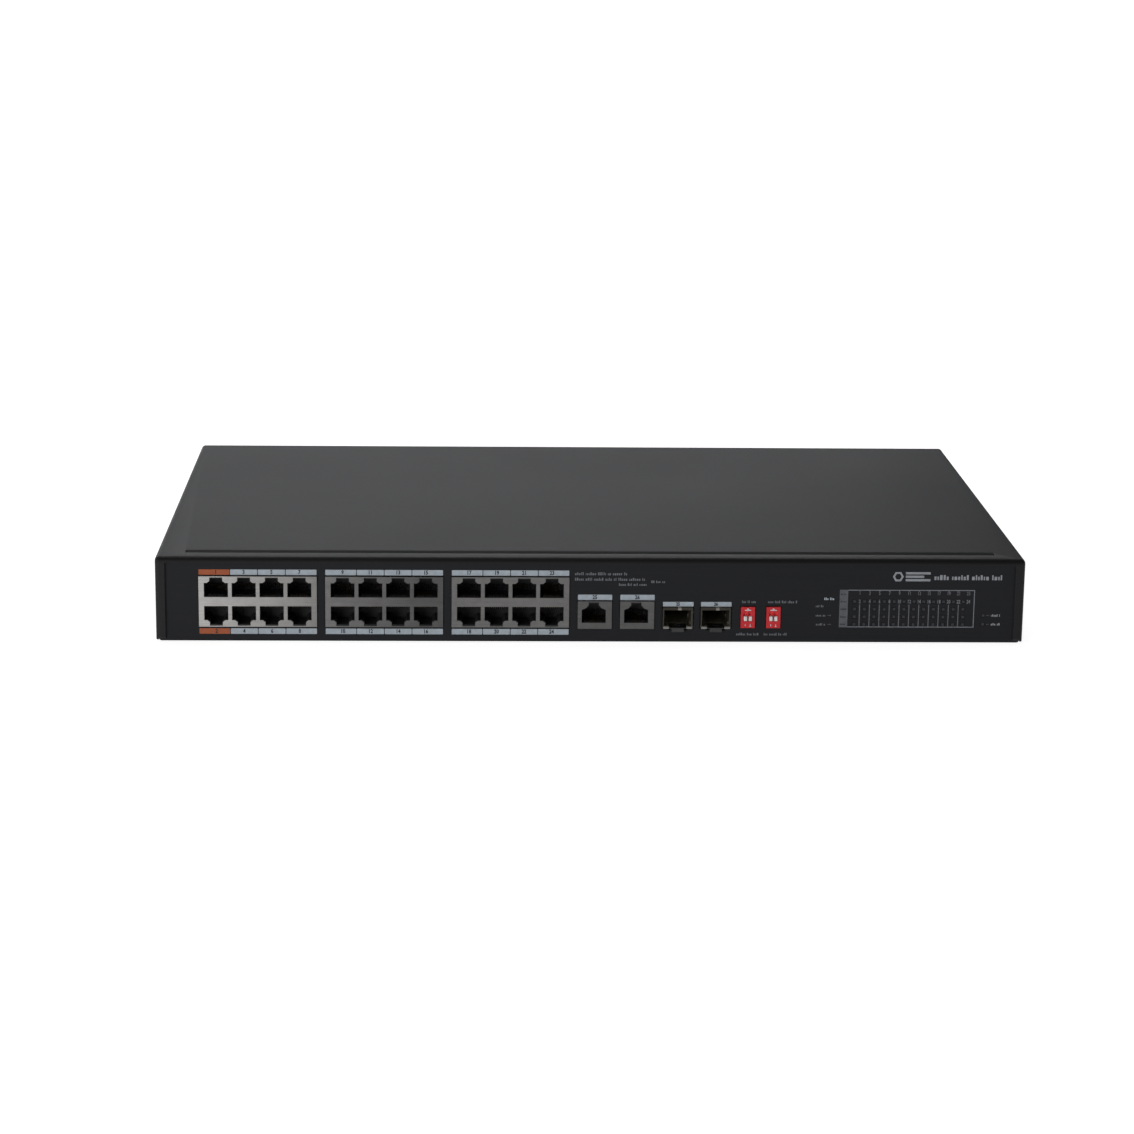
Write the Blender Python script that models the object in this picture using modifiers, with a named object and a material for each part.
"""Rack-mount network switch, one rack unit high, built as an assembly of separate pieces.

Frame: the origin is on the underside, at the middle of the chassis. +X is to the right of a person
facing the ports, -Y is the front with the ports and +Z is up. Every size is in millimetres, and the
helpers turn it into metres. A span is a (low, high) pair along one axis.
"""

import math

import bmesh
import bpy
from mathutils import Matrix, Vector

MM = 0.001

# ---- sizes shared by several pieces --------------------------------------------------------------
HALF_WIDTH = 440.0 / 2
FRONT_Y = -140.0          # front plane of the cover's rim
REAR_Y = 140.0            # rear edge of the cover and the tray
HEIGHT = 44.0             # one rack unit less its working clearance
SHEET = 1.0               # steel sheet of cover, tray and front panel
THROUGH_SHEET = 6.0       # length of a cutter centred in a sheet

TRAY_GAP = 0.3            # cover to tray
TRAY_HALF = HALF_WIDTH - SHEET - TRAY_GAP
TRAY_TOP = HEIGHT - SHEET - 0.9
TRAY_BEND = 1.4           # bend radius of tray and front panel
PANEL_Y = FRONT_Y + SHEET + 0.2      # outer face of the front panel
LIP = 6.0                            # depth of its folded lips

EAR_HOLES = [(y, z) for y in (-128.0, -106.0) for z in (11.0, 33.0)]      # for the rack ears
COVER_SCREW_Y = (-72.0, 129.0)
COVER_SCREW_Z = 9.0

BOARD_BOTTOM = 5.2        # main board
BOARD_TOP = 6.8
ON_BOARD = BOARD_TOP + 0.2           # underside of what stands on the main board
PSU_BOTTOM = 9.2          # power supply board
PSU_TOP = 10.8
ON_PSU = PSU_TOP + 0.3
POWER_WIRE_END_Z = 12.6   # where the leads end above the power supply board

JACK_FRONT = FRONT_Y + 0.4           # front face of the jack shields
BLOCK_X = {"a": -168.5, "b": -104.85, "c": -41.15}      # blocks of eight jacks
BLOCK_HALF = 29.7
BLOCK_Z = (7.8, 34.0)
UPLINK_X = (1.6, 23.1)               # single jacks
UPLINK_HALF = 8.65
UPLINK_Z = (7.2, 21.6)
CAGE_X = (43.8, 63.1)                # cages for pluggable optics
DIP_X = (79.4, 92.4)                 # DIP switches
DIP_HALF = 3.6
DIP_Z = (7.8, 18.8)

# middles of the indicator windows, (x, z): twelve columns of four, and two more at the right
LED_SPOTS = [(133.68 + 5.036 * k, z) for k in range(12) for z in (21.7, 17.7, 13.7, 9.7)]
LED_SPOTS += [(199.5, z) for z in (14.5, 9.9)]

FAN_Y = (48.0, 98.0)
FAN_Z = 21.4

INLET_X = -170.0
INLET_Z = 21.5
EARTH_X = -138.0
EARTH_Z = 14.5

# ---- looks ---------------------------------------------------------------------------------------
PAINT = dict(color=(0.020, 0.022, 0.028), roughness=0.55)
NICKEL = dict(color=(0.50, 0.48, 0.45), roughness=0.32, metallic=1.0)
BLACK = dict(color=(0.012, 0.012, 0.013), roughness=0.5)
ALLOY = dict(color=(0.62, 0.63, 0.65), roughness=0.4, metallic=1.0)
STEEL = dict(color=(0.45, 0.45, 0.46), roughness=0.35, metallic=1.0)
BOARD = dict(color=(0.010, 0.085, 0.035), roughness=0.45)
PSU_BOARD = dict(color=(0.30, 0.20, 0.07), roughness=0.6)
RED_PLASTIC = dict(color=(0.55, 0.008, 0.016), roughness=0.45)
WHITE_PLASTIC = dict(color=(0.85, 0.85, 0.83), roughness=0.4)
CREAM_PLASTIC = dict(color=(0.75, 0.74, 0.70), roughness=0.5)
LIGHT_PIPE = dict(color=(0.8, 0.82, 0.8), roughness=0.15)
CAPACITOR = dict(color=(0.03, 0.03, 0.05), roughness=0.35)
PSU_CAPACITOR = dict(color=(0.02, 0.03, 0.06), roughness=0.35)
TRANSFORMER = dict(color=(0.05, 0.05, 0.055), roughness=0.6)
COPPER = dict(color=(0.45, 0.16, 0.05), roughness=0.35, metallic=0.6)
BROWN_WIRE = dict(color=(0.16, 0.06, 0.02), roughness=0.45)
BLUE_WIRE = dict(color=(0.02, 0.06, 0.30), roughness=0.45)
RED_WIRE = dict(color=(0.45, 0.01, 0.01), roughness=0.45)
BLACK_WIRE = dict(color=(0.015, 0.015, 0.015), roughness=0.45)

# ---- scene ---------------------------------------------------------------------------------------
for old in list(bpy.data.objects):
    bpy.data.objects.remove(old, do_unlink=True)

parts = bpy.data.collections.new("network_switch")
cutters = bpy.data.collections.new("cutters")
bpy.context.scene.collection.children.link(parts)
bpy.context.scene.collection.children.link(cutters)


# ---- meshes and objects --------------------------------------------------------------------------
def around(mid, half):
    """The span reaching half to either side of mid."""
    return (mid - half, mid + half)


def middle(spans):
    return Vector([(low + high) / 2 for low, high in spans])


def finish(obj, color, roughness, metallic=0.0):
    """Gives the object a material of its own."""
    mat = bpy.data.materials.new(obj.name)
    mat.use_nodes = True
    shader = mat.node_tree.nodes["Principled BSDF"]
    shader.inputs["Base Color"].default_value = (*color, 1.0)
    shader.inputs["Roughness"].default_value = roughness
    shader.inputs["Metallic"].default_value = metallic
    mat.diffuse_color = (*color, 1.0)
    obj.data.materials.append(mat)
    return obj


def link_bmesh(name, bm, origin):
    """The bmesh, whose coordinates are millimetres from origin, as an object at origin."""
    for vert in bm.verts:
        vert.co *= MM
    mesh = bpy.data.meshes.new(name)
    bm.to_mesh(mesh)
    bm.free()
    obj = bpy.data.objects.new(name, mesh)
    obj.location = Vector(origin) * MM
    parts.objects.link(obj)
    return obj


def new_object(name, bm, origin=(0, 0, 0)):
    """As link_bmesh, for a closed mesh, whose normals are turned outwards first."""
    bmesh.ops.recalc_face_normals(bm, faces=bm.faces)
    return link_bmesh(name, bm, origin)


def add_box(bm, spans, origin=(0, 0, 0)):
    size = [high - low for low, high in spans]
    place = Matrix.Translation(middle(spans) - Vector(origin))
    bmesh.ops.create_cube(bm, size=1.0, matrix=place @ Matrix.Diagonal((*size, 1)))


# turns that lay the Z axis along each axis
AXIS_TURN = {
    "x": Matrix.Rotation(math.pi / 2, 4, "Y"),
    "y": Matrix.Rotation(-math.pi / 2, 4, "X"),
    "z": Matrix.Identity(4),
}


def add_cone(bm, mid, low_radius, high_radius, depth, axis, segments=16, origin=(0, 0, 0)):
    place = Matrix.Translation(Vector(mid) - Vector(origin)) @ AXIS_TURN[axis]
    bmesh.ops.create_cone(bm, cap_ends=True, cap_tris=False, segments=segments,
                          radius1=low_radius, radius2=high_radius, depth=depth, matrix=place)


def box(name, spans, look):
    """A box with its origin in its middle."""
    mid = middle(spans)
    bm = bmesh.new()
    add_box(bm, spans, mid)
    return finish(new_object(name, bm, mid), **look)


def cylinder(name, mid, radius, depth, axis, look):
    """A cylinder with its origin in its middle."""
    bm = bmesh.new()
    add_cone(bm, mid, radius, radius, depth, axis, origin=mid)
    return finish(new_object(name, bm, mid), **look)


def move_to(obj, collection):
    for current in list(obj.users_collection):
        current.objects.unlink(obj)
    collection.objects.link(obj)


def outline_mesh(name, outline, thickness):
    """A flat outline in XY, extruded by thickness about that plane, as a welded mesh."""
    curve = bpy.data.curves.new(name, "CURVE")
    curve.dimensions = "2D"
    curve.fill_mode = "BOTH"
    curve.extrude = thickness / 2
    spline = curve.splines.new("POLY")
    spline.points.add(len(outline) - 1)
    for point, (x, y) in zip(spline.points, outline):
        point.co = (x, y, 0, 1)
    spline.use_cyclic_u = True
    drawn = bpy.data.objects.new(name, curve)
    cutters.objects.link(drawn)
    bpy.context.view_layer.update()
    evaluated = drawn.evaluated_get(bpy.context.evaluated_depsgraph_get())
    mesh = bpy.data.meshes.new_from_object(evaluated)
    bpy.data.objects.remove(drawn)
    bm = bmesh.new()
    bm.from_mesh(mesh)
    bmesh.ops.remove_doubles(bm, verts=bm.verts, dist=1e-4)
    bmesh.ops.dissolve_limit(bm, angle_limit=0.01, verts=bm.verts, edges=bm.edges)
    bmesh.ops.recalc_face_normals(bm, faces=bm.faces)
    bm.to_mesh(mesh)
    bm.free()
    return mesh


# an outline's X stays X, its Y becomes Z, and it is extruded along Y
STAND = Matrix.Rotation(math.pi / 2, 4, "X")
UPSIDE_DOWN = Matrix.Rotation(math.pi, 4, "Y")


def prisms(name, outline, thickness, places):
    """Upright copies of an outline, extruded along Y, at each (x, y, z, flip), in one mesh."""
    mesh = outline_mesh(name + "_outline", outline, thickness)
    bm = bmesh.new()
    for x, y, z, flip in places:
        before = len(bm.verts)
        bm.from_mesh(mesh)
        bm.verts.ensure_lookup_table()
        turn = UPSIDE_DOWN @ STAND if flip else STAND
        bmesh.ops.transform(bm, matrix=Matrix.Translation((x, y, z)) @ turn,
                            verts=bm.verts[before:])
    bpy.data.meshes.remove(mesh)
    return new_object(name, bm)


def tube(name, points, radius, look):
    """A wire along straight runs, with its origin on its first point."""
    curve = bpy.data.curves.new(name, "CURVE")
    curve.dimensions = "3D"
    curve.bevel_depth = radius * MM
    curve.bevel_resolution = 2
    curve.use_fill_caps = True
    spline = curve.splines.new("POLY")
    spline.points.add(len(points) - 1)
    origin = Vector(points[0])
    for spline_point, point in zip(spline.points, points):
        spline_point.co = (*((Vector(point) - origin) * MM), 1)
    obj = bpy.data.objects.new(name, curve)
    obj.location = origin * MM
    parts.objects.link(obj)
    return finish(obj, **look)


SIDE_NORMALS = {
    "left": (-1, 0, 0), "right": (1, 0, 0),
    "front": (0, -1, 0), "back": (0, 1, 0),
    "low": (0, 0, -1), "top": (0, 0, 1),
}


def open_shell(name, spans, open_sides, thickness, look, rounded=(), radius=0, segments=1):
    """A box without its open_sides, given an inward wall by Solidify.

    rounded lists pairs of sides whose common edge is bent round.
    """
    mid = middle(spans)
    bm = bmesh.new()
    add_box(bm, spans, mid)
    bm.normal_update()
    side = {word: next(face for face in bm.faces if face.normal.dot(Vector(normal)) > 0.9)
            for word, normal in SIDE_NORMALS.items()}
    edges = [edge for one, other in rounded
             for edge in side[one].edges if edge in set(side[other].edges)]
    bmesh.ops.delete(bm, geom=[side[word] for word in open_sides], context="FACES_ONLY")
    if edges:
        bmesh.ops.bevel(bm, geom=edges, offset=radius, offset_type="OFFSET", segments=segments,
                        profile=0.5, affect="EDGES", clamp_overlap=True)
    obj = link_bmesh(name, bm, mid)
    wall = obj.modifiers.new("sheet", "SOLIDIFY")
    wall.thickness = thickness * MM
    wall.offset = -1.0
    wall.use_even_offset = True
    wall.use_rim = True
    return finish(obj, **look)


# ---- booleans and their helper objects -----------------------------------------------------------
def helper(obj):
    """Marks an object as a cutter or a joined shape, which isn't a piece by itself."""
    move_to(obj, cutters)
    obj.hide_render = True
    obj.display_type = "WIRE"
    return obj


def helper_boxes(name, boxes):
    """boxes: (x span, y span, z span) each."""
    bm = bmesh.new()
    for spans in boxes:
        add_box(bm, spans)
    return helper(new_object(name, bm))


def helper_cylinders(name, items, axis, segments=12):
    """items: (mid, radius, depth) or (mid, radius at the low end, at the high end, depth)."""
    bm = bmesh.new()
    for mid, *radii, depth in items:
        add_cone(bm, mid, radii[0], radii[-1], depth, axis, segments)
    return helper(new_object(name, bm))


def helper_prisms(name, outline, thickness, places):
    return helper(prisms(name, outline, thickness, places))


def boolean(obj, other, operation):
    mod = obj.modifiers.new(other.name, "BOOLEAN")
    mod.operation = operation
    mod.solver = "EXACT"
    mod.object = other


def cut(obj, other):
    boolean(obj, other, "DIFFERENCE")


def join(obj, other):
    boolean(obj, other, "UNION")


# ---- cover: top, two sides and a narrow rim round the front --------------------------------------
COVER_BOTTOM = 0.6
COVER_BEND = 2.2
RIM_SIDE = 5.0            # width of the front rim at the sides
RIM_TOP = 3.0             # and along the top
GROOVE_Y = FRONT_Y + 12.8            # pressed stiffening groove in the top
GROOVE_HALF = 205.5                  # half its length
GROOVE = ((-3.4, 0.2), (-1.0, -0.95), (1.0, -0.95), (3.4, 0.2))      # (y, z) from the top face
GROOVE_WALL = 1.4         # how far its thicker backing reaches past its ends
VENT_WIDTH = 2.4
VENT_PITCH = 4.3
VENT_TOP = 37.0
# vent groups of nine slots: side (+1 right, -1 left), middle y, bottom z
VENT_GROUPS = [(1, y, 7.0) for y in FAN_Y] + [(-1, y, 19.0) for y in (-46.0, 60.0)]


def press_groove(cover):
    """Thickens the sheet behind the groove, then cuts the groove's section along X."""
    join(cover, helper_boxes("cover_groove_back", [
        (around(0, GROOVE_HALF + GROOVE_WALL), around(GROOVE_Y, GROOVE[-1][0]),
         (HEIGHT - 1.9, HEIGHT - 0.5))]))
    groove = helper_prisms("cover_groove", GROOVE, 2 * GROOVE_HALF, [(0, 0, 0, False)])
    groove.data.transform(Matrix.Translation((0, GROOVE_Y * MM, HEIGHT * MM))
                          @ Matrix.Rotation(math.pi / 2, 4, "Z"))
    cut(cover, groove)


def build_cover():
    cover = open_shell(
        "top_cover",
        ((-HALF_WIDTH, HALF_WIDTH), (FRONT_Y, REAR_Y), (COVER_BOTTOM, HEIGHT)),
        ("low", "back"), SHEET, PAINT,
        rounded=(("top", "left"), ("top", "right"), ("top", "front"),
                 ("front", "left"), ("front", "right")),
        radius=COVER_BEND, segments=5)
    cut(cover, helper_boxes("cover_front_opening", [
        (around(0, HALF_WIDTH - RIM_SIDE), (FRONT_Y - 5, FRONT_Y + 3),
         (-5.0, HEIGHT - RIM_TOP))]))
    press_groove(cover)
    # four-sided cutters chamfer the lower front corners
    cut(cover, helper_cylinders("cover_front_corners", [
        ((0, FRONT_Y, COVER_BOTTOM), 1.8, 3 * HALF_WIDTH)], "x", 4))
    cut(cover, helper_cylinders("cover_side_corners", [
        ((side * HALF_WIDTH, FRONT_Y, COVER_BOTTOM), 0.7, 8.0) for side in (-1, 1)], "y", 4))
    cut(cover, helper_boxes("cover_vents", [
        (around(side * HALF_WIDTH, 4), around(y + k * VENT_PITCH, VENT_WIDTH / 2),
         (bottom, VENT_TOP))
        for side, y, bottom in VENT_GROUPS for k in range(-4, 5)]))
    wall_x = HALF_WIDTH - SHEET / 2
    cut(cover, helper_cylinders("cover_ear_holes", [
        ((side * wall_x, y, z), 2.2, THROUGH_SHEET) for side in (-1, 1) for y, z in EAR_HOLES],
        "x", 10))
    # countersinks open outwards
    for word, side, radii in (("right", 1, (1.4, 3.7)), ("left", -1, (3.7, 1.4))):
        cut(cover, helper_cylinders(f"cover_countersinks_{word}", [
            ((side * wall_x, y, COVER_SCREW_Z), *radii, 2.0) for y in COVER_SCREW_Y], "x"))


# ---- tray: floor, rear panel and side flanges ----------------------------------------------------
FLANGE_TOP = 16.0         # low part of the side walls
NOTCH_FRONT = -96.0       # the low part runs from here
NOTCH_BACK_LEFT = 112.0   # to here on the left
NOTCH_BACK_RIGHT = 22.0   # and to here on the right
REAR_SLOT_HALF = 1.4
REAR_SLOT_Z = (11.0, 33.0)
REAR_SLOTS = [start + 5.2 * k for start in (-40.0, 30.0) for k in range(7)]      # x of each
FLOOR_INSIDE = 0.5        # posts start inside the floor sheet
POST_RADIUS = 3.0
POST_GAP = 0.2            # post to board
# posts under the boards, (x, y)
MAIN_POSTS = (
    (-205.0, -100.0), (-74.9, -100.0), (110.0, -100.0), (205.0, -96.0),
    (-205.0, -30.0), (0.0, -30.0), (205.0, -30.0),
)
PSU_POSTS = ((-206.0, 10.0), (-68.0, 10.0), (-206.0, 108.0), (-68.0, 122.0))


def board_posts():
    """Posts from the floor up to just under each board."""
    items = []
    for places, board_bottom in ((MAIN_POSTS, BOARD_BOTTOM), (PSU_POSTS, PSU_BOTTOM)):
        top = board_bottom - POST_GAP
        items += [((x, y, (FLOOR_INSIDE + top) / 2), POST_RADIUS, top - FLOOR_INSIDE)
                  for x, y in places]
    return helper_cylinders("board_posts", items, "z", 8)


def build_tray():
    tray = open_shell(
        "base_tray",
        ((-TRAY_HALF, TRAY_HALF), (PANEL_Y + LIP + 0.3, REAR_Y), (0.0, TRAY_TOP)),
        ("top", "front"), SHEET, PAINT,
        rounded=(("low", "left"), ("low", "right"), ("low", "back")),
        radius=TRAY_BEND, segments=2)
    above_flange = (FLANGE_TOP, 60.0)
    outside, inside = HALF_WIDTH + 5, TRAY_HALF - 4
    cut(tray, helper_boxes("tray_side_notches", [
        ((-outside, -inside), (NOTCH_FRONT, NOTCH_BACK_LEFT), above_flange),
        ((inside, outside), (NOTCH_FRONT, NOTCH_BACK_RIGHT), above_flange)]))
    rear = (REAR_Y - 4, REAR_Y + 3)
    openings = [(around(INLET_X, 13.8), rear, around(INLET_Z, 10.1))]
    openings += [(around(x, REAR_SLOT_HALF), rear, REAR_SLOT_Z) for x in REAR_SLOTS]
    cut(tray, helper_boxes("rear_openings", openings))
    cut(tray, helper_cylinders("rear_earth_hole", [
        ((EARTH_X, REAR_Y - SHEET / 2, EARTH_Z), 2.3, THROUGH_SHEET)], "y", 10))
    wall_x = TRAY_HALF - SHEET / 2
    screw_places = EAR_HOLES, [(y, COVER_SCREW_Z) for y in COVER_SCREW_Y]
    cut(tray, helper_cylinders("tray_screw_holes", [
        ((side * wall_x, y, z), 1.7, THROUGH_SHEET)
        for places in screw_places for side in (-1, 1) for y, z in places], "x", 8))
    cut(tray, helper_cylinders("tray_fan_openings", [
        ((wall_x, y, FAN_Z), 17.8, THROUGH_SHEET) for y in FAN_Y], "x", 20))
    join(tray, board_posts())


# ---- front panel: a plate with folded lips along its bottom, its sides and its top ---------------
TOP_LIP = 13.3            # depth of the top lip, under the cover
PORT_GAP = 0.2            # panel to the jacks and switches in it
LED_HOLE = 1.9            # side of a square indicator window
# opening round an optics cage, (x from the cage's middle, z)
CAGE_OPENING = (
    (-8.1, 7.2), (-5.0, 7.2), (-5.0, 6.5), (5.0, 6.5),
    (5.0, 7.2), (8.1, 7.2), (8.1, 18.7), (-8.1, 18.7),
)


def build_front_panel():
    panel = open_shell(
        "front_panel",
        ((-TRAY_HALF, TRAY_HALF), (PANEL_Y, PANEL_Y + LIP), (0.0, TRAY_TOP)),
        ("top", "back"), SHEET, PAINT,
        rounded=(("front", "left"), ("front", "right"), ("front", "low"),
                 ("low", "left"), ("low", "right")),
        radius=TRAY_BEND, segments=4)
    join(panel, helper_boxes("panel_top_lip", [
        (around(0, TRAY_HALF - 2.0), (PANEL_Y + 0.5, PANEL_Y + TOP_LIP),
         (TRAY_TOP - 1.4, TRAY_TOP - 0.4))]))
    through = (PANEL_Y - 3, PANEL_Y + SHEET + 2)
    openings = [
        (around(x, half + PORT_GAP), through, (low - PORT_GAP, high + PORT_GAP))
        for places, half, (low, high) in ((BLOCK_X.values(), BLOCK_HALF, BLOCK_Z),
                                          (UPLINK_X, UPLINK_HALF, UPLINK_Z),
                                          (DIP_X, DIP_HALF, DIP_Z))
        for x in places]
    openings += [(around(x, LED_HOLE / 2), through, around(z, LED_HOLE / 2))
                 for x, z in LED_SPOTS]
    cut(panel, helper_boxes("panel_openings", openings))
    cut(panel, helper_prisms("panel_cage_openings", CAGE_OPENING, THROUGH_SHEET, [
        (x, PANEL_Y + SHEET / 2, 0, False) for x in CAGE_X]))


# ---- jacks: a metal shield, open below, round a plastic housing ----------------------------------
SHIELD_SHEET = 0.35
HOUSING_INSET = 0.65      # shield's outer face to housing
WINDOW_CUT = 1.6          # length of the cutters for the shield's windows
POCKET_DEPTH = 15.0
POCKET_CUT = POCKET_DEPTH + 2        # the cutter starts 2 in front of the housing
POCKET_Y = JACK_FRONT + HOUSING_INSET - 2 + POCKET_CUT / 2

BLOCK_DEPTH = 26.0
BLOCK_MID_Z = sum(BLOCK_Z) / 2
PORT_PITCH = 13.97
# opening of a block's upper port, (x, z over the block's middle): plug window, shoulders, latch slot
BLOCK_PORT = (
    (-5.9, 2.5), (5.9, 2.5), (5.9, 9.5), (4.4, 9.5), (3.1, 10.5),
    (3.1, 12.0), (-3.1, 12.0), (-3.1, 10.5), (-4.4, 9.5), (-5.9, 9.5),
)
WINDOW_GROWTH = 0.15      # shield window over the port opening
LATCH_EXTRA = 0.4         # and more at the end of the latch slot

UPLINK_DEPTH = 21.0
SOCKET_SHIFT = -0.5       # socket off the middle of its shield
# opening of a single jack, (x, z)
UPLINK_PORT = (
    (-6.1, 10.4), (6.1, 10.4), (6.1, 17.1), (3.6, 18.2), (3.3, 18.9), (2.6, 19.4),
    (2.6, 21.1), (-2.6, 21.1), (-2.6, 19.4), (-3.3, 18.9), (-3.6, 18.2), (-6.1, 17.1),
)


def jack_case(name, mid_x, half, z_span, depth):
    """Shield and housing, not yet opened."""
    back = JACK_FRONT + depth
    low, high = z_span
    shield = open_shell(f"{name}_shield", (around(mid_x, half), (JACK_FRONT, back), z_span),
                        ("low",), SHIELD_SHEET, NICKEL)
    housing = box(f"{name}_housing", (
        around(mid_x, half - HOUSING_INSET),
        (JACK_FRONT + HOUSING_INSET, back - HOUSING_INSET),
        (low + 0.1, high - HOUSING_INSET)), BLACK)
    return shield, housing


def block_window():
    """The block's port opening with every edge moved outwards, and a longer latch slot."""
    mid_z = sum(z for _, z in BLOCK_PORT) / len(BLOCK_PORT)
    grown = [(x + math.copysign(WINDOW_GROWTH, x), z + math.copysign(WINDOW_GROWTH, z - mid_z))
             for x, z in BLOCK_PORT]
    return [(x, z + LATCH_EXTRA if z > 11 else z) for x, z in grown]


def block_ports(block_x, y):
    """Places of four upper ports and, upside down, four lower ones."""
    return [(block_x + (i - 1.5) * PORT_PITCH, y, BLOCK_MID_Z, flip)
            for i in range(4) for flip in (False, True)]


def build_port_blocks():
    for tag, mid_x in BLOCK_X.items():
        shield, housing = jack_case(f"port_block_{tag}", mid_x, BLOCK_HALF, BLOCK_Z, BLOCK_DEPTH)
        cut(shield, helper_prisms(f"block_{tag}_windows", block_window(), WINDOW_CUT,
                                  block_ports(mid_x, JACK_FRONT)))
        cut(housing, helper_prisms(f"block_{tag}_pockets", BLOCK_PORT, POCKET_CUT,
                                   block_ports(mid_x, POCKET_Y)))
        box(f"port_magnetics_{tag}",
            (around(mid_x, 26), (-108.0, -95.0), (ON_BOARD, 13.6)), BLACK)


def build_uplink_jacks():
    # the pocket stops below the top of the housing
    pocket = [(x, min(z, UPLINK_Z[1] - 1.15)) for x, z in UPLINK_PORT]
    for n, mid_x in enumerate(UPLINK_X, 1):
        shield, housing = jack_case(f"uplink_jack_{n}", mid_x, UPLINK_HALF, UPLINK_Z,
                                    UPLINK_DEPTH)
        socket_x = mid_x + SOCKET_SHIFT
        cut(shield, helper_prisms(f"uplink_{n}_window", UPLINK_PORT, WINDOW_CUT,
                                  [(socket_x, JACK_FRONT, 0, False)]))
        cut(housing, helper_prisms(f"uplink_{n}_pocket", pocket, POCKET_CUT,
                                   [(socket_x, POCKET_Y, 0, False)]))


# ---- optics cages, their latch springs and board connectors --------------------------------------
CAGE_HALF = 7.4
CAGE_BOTTOM = 7.8
CAGE_TOP = 17.8
CAGE_BACK = -92.0
CAGE_SHEET = 0.4
LEG_OFFSET = 6.95
LEG_Y = (-131.0, -116.0, -101.0)
LATCH_HINGE_Y = -131.2
LATCH_TIP_Y = -140.9
LATCH_HALF = 4.3


def build_cage(n, mid_x):
    cage = open_shell(
        f"optics_cage_{n}",
        (around(mid_x, CAGE_HALF), (JACK_FRONT + 0.2, CAGE_BACK), (CAGE_BOTTOM, CAGE_TOP)),
        ("front",), CAGE_SHEET, NICKEL)
    floor = around(CAGE_BOTTOM, 1)
    cut(cage, helper_boxes(f"cage_{n}_openings", [
        (around(mid_x, LATCH_HALF + 0.3), (JACK_FRONT - 3, LATCH_HINGE_Y + 0.6), floor),
        (around(mid_x, 6.2), (-105.2, -93.6), floor)]))
    join(cage, helper_boxes(f"cage_{n}_legs", [
        (around(mid_x + side * LEG_OFFSET, 0.25), around(y, 0.6),
         (BOARD_TOP + 0.3, CAGE_BOTTOM + 1.2))
        for side in (-1, 1) for y in LEG_Y]))


def build_optics_connector(n, mid_x):
    connector = box(f"optics_connector_{n}",
                    (around(mid_x, 5.7), (-104.6, -94.2), (ON_BOARD, 12.1)), BLACK)
    cut(connector, helper_boxes(f"connector_{n}_mouth", [
        (around(mid_x, 4.8), (-108.0, -98.0), (8.9, 10.4))]))


def build_latch(n, mid_x):
    """The spring's origin is on its living hinge, at the root of the tongue."""
    hinge = (mid_x, LATCH_HINGE_Y, CAGE_BOTTOM + CAGE_SHEET / 2)
    bm = bmesh.new()
    add_box(bm, (around(mid_x, LATCH_HALF), (LATCH_TIP_Y, LATCH_HINGE_Y),
                 (CAGE_BOTTOM, CAGE_BOTTOM + CAGE_SHEET)), hinge)
    spring = finish(new_object(f"optics_latch_{n}", bm, hinge), **STEEL)
    join(spring, helper_boxes(f"latch_{n}_lip", [
        (around(mid_x, 3.1), (LATCH_TIP_Y - 0.05, LATCH_TIP_Y + 0.4),
         (CAGE_BOTTOM - 1.8, CAGE_BOTTOM + 0.3))]))
    cut(spring, helper_boxes(f"latch_{n}_catch", [
        (around(mid_x, 1.4), (-138.2, -135.4), (CAGE_BOTTOM - 1, CAGE_BOTTOM + 2))]))


# ---- DIP switches --------------------------------------------------------------------------------
DIP_FRONT = FRONT_Y + 0.5
DIP_BACK = -131.0
DIP_WINDOW_Z = (11.3, 16.5)
LEVER_OFFSET = 1.27
LEVER_Z = (11.6, 14.0)    # off position; on is 2.2 higher
LEVER_HALF = 0.8


def build_dip_switch(n, mid_x):
    body = box(f"dip_switch_{n}_body", (around(mid_x, DIP_HALF), (DIP_FRONT, DIP_BACK), DIP_Z),
               RED_PLASTIC)
    lever_x = [mid_x + side * LEVER_OFFSET for side in (-1, 1)]
    cut(body, helper_boxes(f"dip_{n}_windows", [
        (around(x, LEVER_HALF + 0.25), around(DIP_FRONT, 2), DIP_WINDOW_Z) for x in lever_x]))
    for k, x in enumerate(lever_x, 1):
        box(f"dip_{n}_lever_{k}", (around(x, LEVER_HALF), (FRONT_Y, DIP_FRONT + 1.8), LEVER_Z),
            WHITE_PLASTIC)


# ---- light pipe and indicator board --------------------------------------------------------------
LED_PEG = 1.5             # side of a square peg


def build_indicators():
    pipe = box("led_light_pipe", ((126.5, 203.2), (-136.6, -135.2), (7.4, 25.4)), LIGHT_PIPE)
    join(pipe, helper_boxes("light_pipe_pegs", [
        (around(x, LED_PEG / 2), (PANEL_Y + 0.1, -136.2), around(z, LED_PEG / 2))
        for x, z in LED_SPOTS]))
    box("indicator_board", ((126.0, 204.0), (-134.8, -133.2), (ON_BOARD, 27.0)), BOARD)


# ---- main board and what it carries --------------------------------------------------------------
CHIP_X = (12.0, 43.0)
CHIP_TOP = 8.8
CAPACITOR_HEIGHT = 20.0


def build_main_board():
    box("main_board", ((-212.0, 212.0), (-136.4, -22.0), (BOARD_BOTTOM, BOARD_TOP)), BOARD)
    box("switch_chip", (CHIP_X, (-84.0, -53.0), (ON_BOARD, CHIP_TOP)), BLACK)
    cylinder("main_capacitor", (82.0, -62.0, ON_BOARD + CAPACITOR_HEIGHT / 2), 6.3,
             CAPACITOR_HEIGHT, "z", CAPACITOR)
    header = box("power_header", ((-104.0, -86.0), (-38.0, -29.0), (ON_BOARD, 17.0)),
                 CREAM_PLASTIC)
    cut(header, helper_boxes("power_header_mouth", [
        ((-102.6, -87.4), (-36.6, -30.4), (9.5, 20.0))]))


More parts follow.
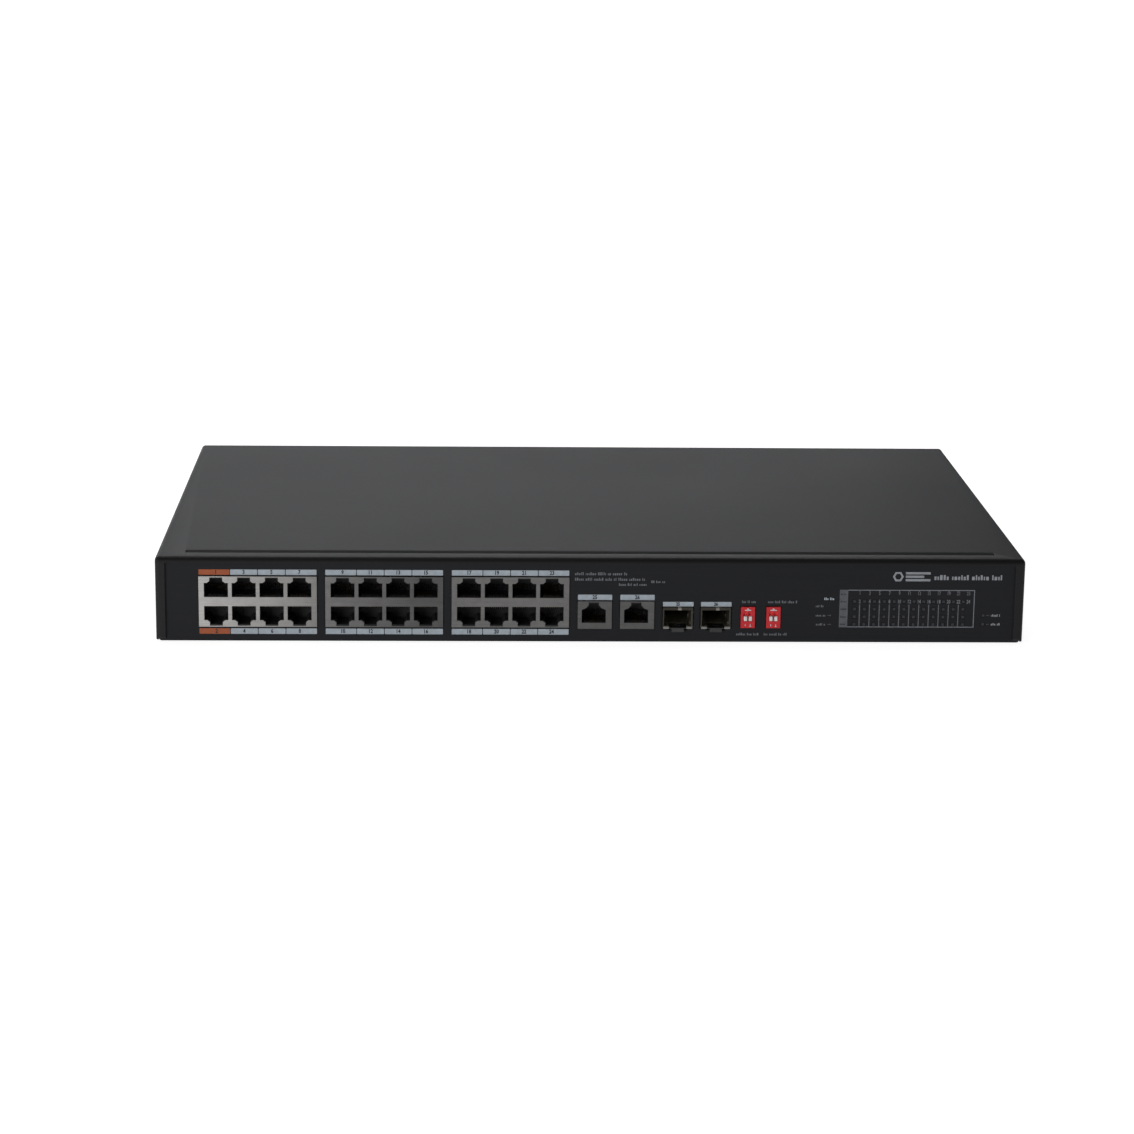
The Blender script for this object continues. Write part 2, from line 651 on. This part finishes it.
# ---- heat sinks ----------------------------------------------------------------------------------
# name, middle x, y span, bottom z, width, base height, full height, number of fins, fin thickness
HEAT_SINKS = (
    ("switch_heat_sink", sum(CHIP_X) / 2, (-89.0, -48.0), CHIP_TOP + 0.3, 41.0, 3.0, 17.0, 9, 1.4),
    ("poe_heat_sink_a", -150.0, (-84.0, -52.0), ON_BOARD, 52.0, 3.0, 20.0, 8, 1.4),
    ("poe_heat_sink_b", -72.0, (-84.0, -52.0), ON_BOARD, 52.0, 3.0, 20.0, 8, 1.4),
    ("psu_heat_sink", -110.0, (16.0, 22.0), ON_PSU, 64.0, 4.0, 26.0, 8, 3.0),
)


def comb(width, base, height, fins, fin):
    """Outline of a finned heat sink, its base down, centred in X."""
    points = [(-width / 2, 0), (width / 2, 0)]
    pitch = (width - fin) / (fins - 1)
    for k in range(fins - 1, -1, -1):
        left = -width / 2 + k * pitch
        points += [(left + fin, height), (left, height)]
        if k:
            points += [(left, base), (left - pitch + fin, base)]
    return points


def build_heat_sinks():
    for name, x, (front, back), z, *profile in HEAT_SINKS:
        place = (x, (front + back) / 2, z, False)
        finish(prisms(name, comb(*profile), back - front, [place]), **ALLOY)


# ---- power supply --------------------------------------------------------------------------------
PSU_CAPACITOR_X = (-168.0, -142.0)
CHOKE_RADIUS = 9.0
CHOKE_THICKNESS = 4.0     # radius of the ring's section


def build_power_supply():
    box("psu_board", ((-212.0, -62.0), (4.0, 128.0), (PSU_BOTTOM, PSU_TOP)), PSU_BOARD)
    core = box("psu_transformer", ((-112.0, -76.0), (58.0, 76.0), (ON_PSU, 37.0)), TRANSFORMER)
    join(core, helper_boxes("transformer_coil", [
        ((-107.0, -81.0), (50.0, 84.0), (PSU_TOP + 2.3, 33.0))]))
    for n, x in enumerate(PSU_CAPACITOR_X, 1):
        cylinder(f"psu_capacitor_{n}", (x, 74.0, PSU_TOP + 0.4 + 11.5), 11.3, 40.0, "y",
                 PSU_CAPACITOR)


def build_choke():
    """A ring standing on the power supply board, its axis along Y."""
    ring_z = PSU_TOP + 0.4 + CHOKE_RADIUS + CHOKE_THICKNESS
    bpy.ops.mesh.primitive_torus_add(
        major_segments=16, minor_segments=8,
        major_radius=CHOKE_RADIUS * MM, minor_radius=CHOKE_THICKNESS * MM,
        location=(-176.0 * MM, 30.0 * MM, ring_z * MM), rotation=(math.pi / 2, 0, 0))
    choke = bpy.context.active_object
    choke.name = choke.data.name = "psu_choke"
    move_to(choke, parts)
    finish(choke, **COPPER)


# ---- mains inlet with its three pins, and the leads ----------------------------------------------
RECESS_FLOOR_Y = 124.6
RECESS_CUT = 20.0
PIN_FRONT = 112.0
# section of the inlet's recess, (x, z) from the inlet's middle
RECESS = ((-12.2, -8.2), (12.2, -8.2), (12.2, 3.4), (7.4, 8.2), (-7.4, 8.2), (-12.2, 3.4))
# middles of the pins, (x, z) from the inlet's middle
PINS = {"live": (7.0, -2.2), "neutral": (-7.0, -2.2), "earth": (0.0, 2.8)}


def build_inlet():
    inlet = box("ac_inlet", (around(INLET_X, 15.6), (REAR_Y + 0.2, REAR_Y + 2.2),
                             around(INLET_Z, 12.2)), BLACK)
    join(inlet, helper_boxes("inlet_body", [
        (around(INLET_X, 13.5), (120.0, REAR_Y + 1.2), around(INLET_Z, 9.8))]))
    cut(inlet, helper_prisms("inlet_recess", RECESS, RECESS_CUT, [
        (INLET_X, RECESS_FLOOR_Y + RECESS_CUT / 2, INLET_Z, False)]))
    cut(inlet, helper_boxes("inlet_pin_holes", [
        (around(INLET_X + x, 1.3), (117.0, 128.0), around(INLET_Z + z, 2.3))
        for x, z in PINS.values()]))
    for name, (x, z) in PINS.items():
        box(f"ac_pin_{name}", (around(INLET_X + x, 1.0), (PIN_FRONT, 138.6),
                               around(INLET_Z + z, 2.0)), STEEL)


def build_wires():
    for name, look in (("live", BROWN_WIRE), ("neutral", BLUE_WIRE)):
        pin_x, pin_z = PINS[name]
        x, y, z = INLET_X + pin_x, PIN_FRONT - 0.4, INLET_Z + pin_z
        tube(f"ac_wire_{name}", [(x, y, z), (x, y - 4, z - 0.5), (x - 2, y - 7, z - 3.5),
                                 (x - 3, 102.4, POWER_WIRE_END_Z)], 1.1, look)
    for name, x, look in (("positive", -98.5, RED_WIRE), ("negative", -91.5, BLACK_WIRE)):
        tube(f"dc_wire_{name}", [(x, -33.5, 11.0), (x, -33.5, 19.5), (x, -29.5, 23.0),
                                 (x, -8.0, 23.0), (x, 4.0, 17.0), (x, 8.5, POWER_WIRE_END_Z)],
             1.2, look)


# ---- earth screw and cover screws ----------------------------------------------------------------
CROSS_HALF_WIDTH = 0.35
CROSS_DEPTH = 0.6
CROSS_REACH = 0.62        # of the head's outer radius
COVER_HEAD = 1.15         # height of a cover screw's head, flush with the cover


def screw(name, seat, axis, out, seat_radius, outer_radius, head, shaft_radius, length):
    """A cross-head screw. Its head stands on seat and points along out (+1 or -1) of the axis."""
    seat = Vector(seat)
    step = {"x": Vector((1, 0, 0)), "y": Vector((0, 1, 0))}[axis] * out
    radii = (seat_radius, outer_radius) if out > 0 else (outer_radius, seat_radius)
    bm = bmesh.new()
    add_cone(bm, seat + step * head / 2, *radii, head, axis, 12, seat)
    obj = finish(new_object(name, bm, seat), **STEEL)
    # the shaft reaches a little way into the head
    low, high = -length, head * 0.6
    join(obj, helper_cylinders(name + "_shaft", [
        (seat + step * (low + high) / 2, shaft_radius, high - low)], axis, 8))
    tip = seat + step * head
    reach = outer_radius * CROSS_REACH
    for n, (across, up) in enumerate(((CROSS_HALF_WIDTH, reach), (reach, CROSS_HALF_WIDTH)), 1):
        half_x, half_y = (CROSS_DEPTH, across) if axis == "x" else (across, CROSS_DEPTH)
        cut(obj, helper_boxes(f"{name}_slot_{n}", [
            (around(tip.x, half_x), around(tip.y, half_y), around(tip.z, up))]))


def build_screws():
    screw("earth_screw", (EARTH_X, REAR_Y + 0.3, EARTH_Z), "y", 1, seat_radius=4.2,
          outer_radius=3.4, head=2.4, shaft_radius=1.9, length=9.0)
    for side, word in ((1, "right"), (-1, "left")):
        for where, y in zip(("front", "rear"), COVER_SCREW_Y):
            screw(f"cover_screw_{word}_{where}",
                  (side * (HALF_WIDTH - COVER_HEAD), y, COVER_SCREW_Z), "x", side,
                  seat_radius=1.3, outer_radius=2.9, head=COVER_HEAD, shaft_radius=1.25,
                  length=5.0)


# ---- fans ----------------------------------------------------------------------------------------
FAN_X = (197.3, 217.3)
FAN_MID_X = sum(FAN_X) / 2
FAN_HALF = 20.0           # half the side of the square frame
FAN_BORE = 18.6
FAN_CUT = 26.0            # length of the cutters through the frame
FAN_HOLE_OFFSET = 16
MOTOR_X = FAN_X[0] + 1.3  # middle of the motor plate and its struts
STRUT_SIZE = (1.8, 12.0, 2.6)        # along X, outwards and across
STRUT_MID = 14.0          # distance of its middle from the axis
HUB_X = (FAN_X[0] + 2.7, FAN_X[1] - 2.2)
HUB_RADIUS = 9.8
BLADE_TIP = 17.8
BLADE_THICKNESS = 1.1
BLADE_CHORD = 11.0
BLADE_TWIST = math.radians(38)
BLADES = 7


def helper_arm(name, x, y, angle, arm):
    """A unit cube shaped by the matrix arm and turned by angle about the fan's axis."""
    bm = bmesh.new()
    turn = Matrix.Translation((x, y, FAN_Z)) @ Matrix.Rotation(angle, 4, "X")
    bmesh.ops.create_cube(bm, size=1.0, matrix=turn @ arm)
    return helper(new_object(name, bm))


def build_fan_frame(n, y):
    frame = box(f"fan_{n}_frame", (FAN_X, around(y, FAN_HALF), around(FAN_Z, FAN_HALF)), BLACK)
    cut(frame, helper_cylinders(f"fan_{n}_bore", [
        ((FAN_MID_X, y, FAN_Z), FAN_BORE, FAN_CUT)], "x", 24))
    cut(frame, helper_cylinders(f"fan_{n}_screw_holes", [
        ((FAN_MID_X, hole_y, hole_z), 1.8, FAN_CUT)
        for hole_y in around(y, FAN_HOLE_OFFSET) for hole_z in around(FAN_Z, FAN_HOLE_OFFSET)],
        "x", 8))
    motor_mid = (MOTOR_X, y, FAN_Z)
    motor = helper_cylinders(f"fan_{n}_motor_plate", [(motor_mid, 9.6, 2.0)], "x", 16)
    strut = Matrix.Translation((0, STRUT_MID, 0)) @ Matrix.Diagonal((*STRUT_SIZE, 1))
    for k in range(3):
        join(motor, helper_arm(f"fan_{n}_strut_{k}", MOTOR_X, y, math.radians(90 + 120 * k),
                               strut))
    join(frame, motor)
    cut(frame, helper_cylinders(f"fan_{n}_bearing", [(motor_mid, 1.9, 8.0)], "x"))


def build_fan_rotor(n, y):
    """The rotor turns about X and has its origin on that axis."""
    axis_point = (FAN_X[0], y, FAN_Z)
    bm = bmesh.new()
    add_cone(bm, (sum(HUB_X) / 2, y, FAN_Z), HUB_RADIUS, HUB_RADIUS, HUB_X[1] - HUB_X[0], "x",
             origin=axis_point)
    rotor = finish(new_object(f"fan_{n}_rotor", bm, axis_point), **BLACK)
    join(rotor, helper_cylinders(f"fan_{n}_shaft", [
        ((FAN_X[0] + 2.0, y, FAN_Z), 1.5, 2.8)], "x"))
    # blades are rooted inside the hub
    blade = (Matrix.Translation((0, (BLADE_TIP + HUB_RADIUS) / 2 - 0.9, 0))
             @ Matrix.Rotation(BLADE_TWIST, 4, "Y")
             @ Matrix.Diagonal((BLADE_THICKNESS, BLADE_TIP - HUB_RADIUS + 1.2, BLADE_CHORD, 1)))
    for k in range(BLADES):
        join(rotor, helper_arm(f"fan_{n}_blade_{k}", FAN_MID_X + 0.4, y,
                               2 * math.pi * k / BLADES, blade))


# ---- assembly ------------------------------------------------------------------------------------
def shade_parts():
    """Round pieces are shaded smooth between their sharp edges."""
    for obj in parts.objects:
        if obj.type == "MESH":
            obj.data.shade_smooth()
            obj.data.set_sharp_from_angle(angle=math.radians(32))


build_cover()
build_tray()
build_front_panel()
build_port_blocks()
build_uplink_jacks()
for number, place_x in enumerate(CAGE_X, 1):
    build_cage(number, place_x)
    build_optics_connector(number, place_x)
    build_latch(number, place_x)
for number, place_x in enumerate(DIP_X, 1):
    build_dip_switch(number, place_x)
build_indicators()
build_main_board()
build_heat_sinks()
build_power_supply()
build_choke()
build_inlet()
build_wires()
build_screws()
for number, place_y in enumerate(FAN_Y, 1):
    build_fan_frame(number, place_y)
    build_fan_rotor(number, place_y)
shade_parts()
